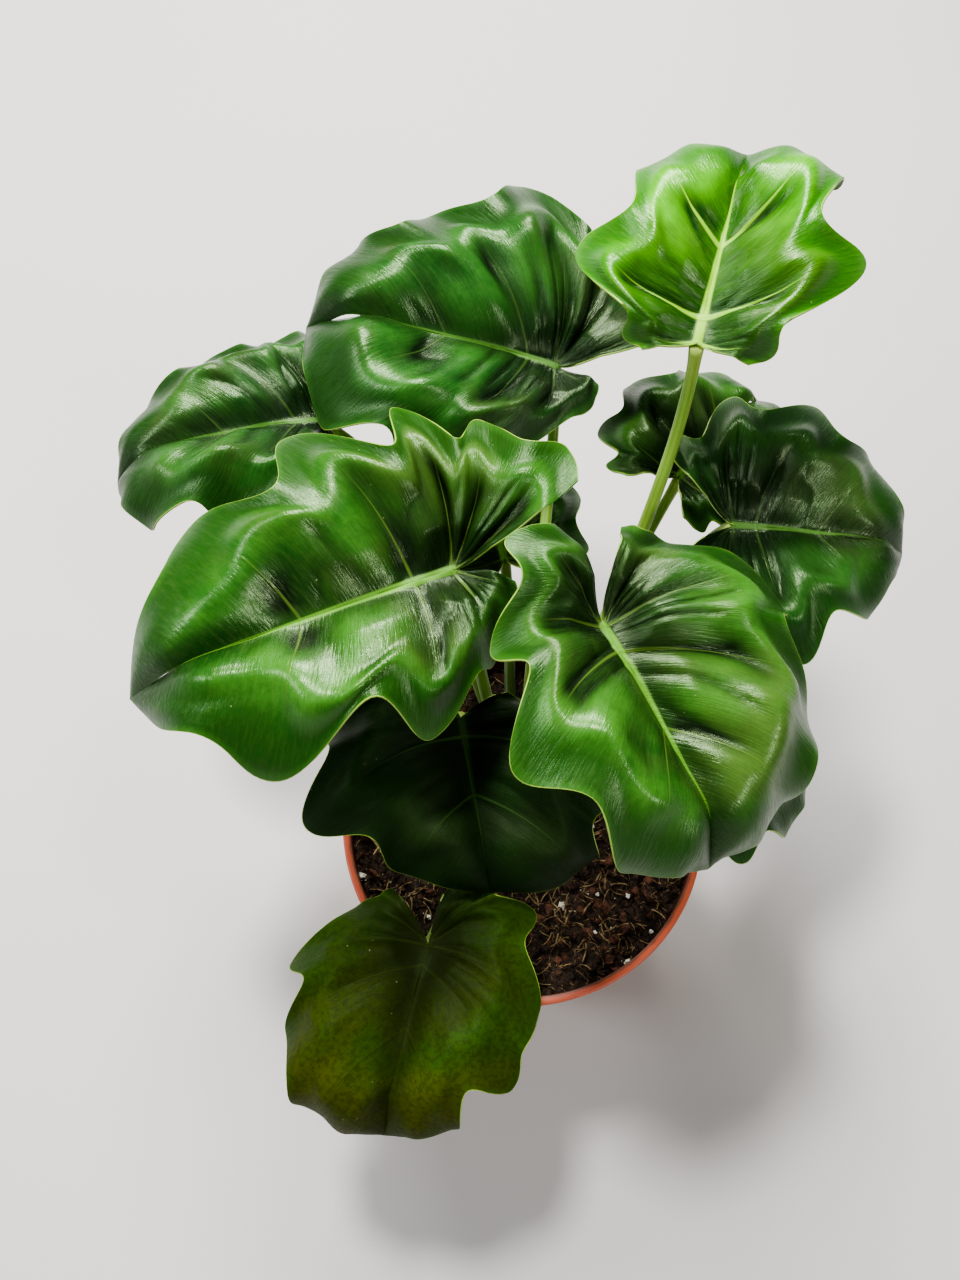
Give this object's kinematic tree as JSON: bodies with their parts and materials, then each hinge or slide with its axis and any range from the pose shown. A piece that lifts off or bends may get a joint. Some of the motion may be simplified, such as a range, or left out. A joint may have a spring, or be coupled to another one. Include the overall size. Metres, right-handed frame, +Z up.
{
  "type": "potted philodendron",
  "caption": "Small potted atom philodendron: glossy, lobed and waved green leaves on arching stems from a short crown, standing in dark soil in a thin round nursery pot",
  "frame": {"origin": "middle of the flat underside of the pot", "axes": "+Z up through the pot's middle, -Y toward the side with the hanging leaf and the bare soil, +X to the right seen from that side"},
  "size_m": [0.2436, 0.2889, 0.2638],
  "materials": {
    "pot": "satin",
    "soil": "matte",
    "crown": "satin",
    "stem": "satin",
    "leaf": "gloss"
  },
  "bodies": {
    "root": {"pot": "pot", "soil": "soil", "crown": "crown", "stem_left": "stem", "stem_front": "stem", "stem_low_front": "stem", "stem_hanging": "stem", "stem_back": "stem", "stem_far_left": "stem", "stem_bright": "stem", "stem_right": "stem", "stem_low_right": "stem", "stem_low_back_left": "stem", "stem_low_back_right": "stem", "leaf_left": "leaf", "leaf_front": "leaf", "leaf_low_front": "leaf", "leaf_hanging": "leaf", "leaf_back": "leaf", "leaf_far_left": "leaf", "leaf_bright": "leaf", "leaf_right": "leaf", "leaf_low_right": "leaf", "leaf_low_back_left": "leaf", "leaf_low_back_right": "leaf"}
  },
  "joints": []
}
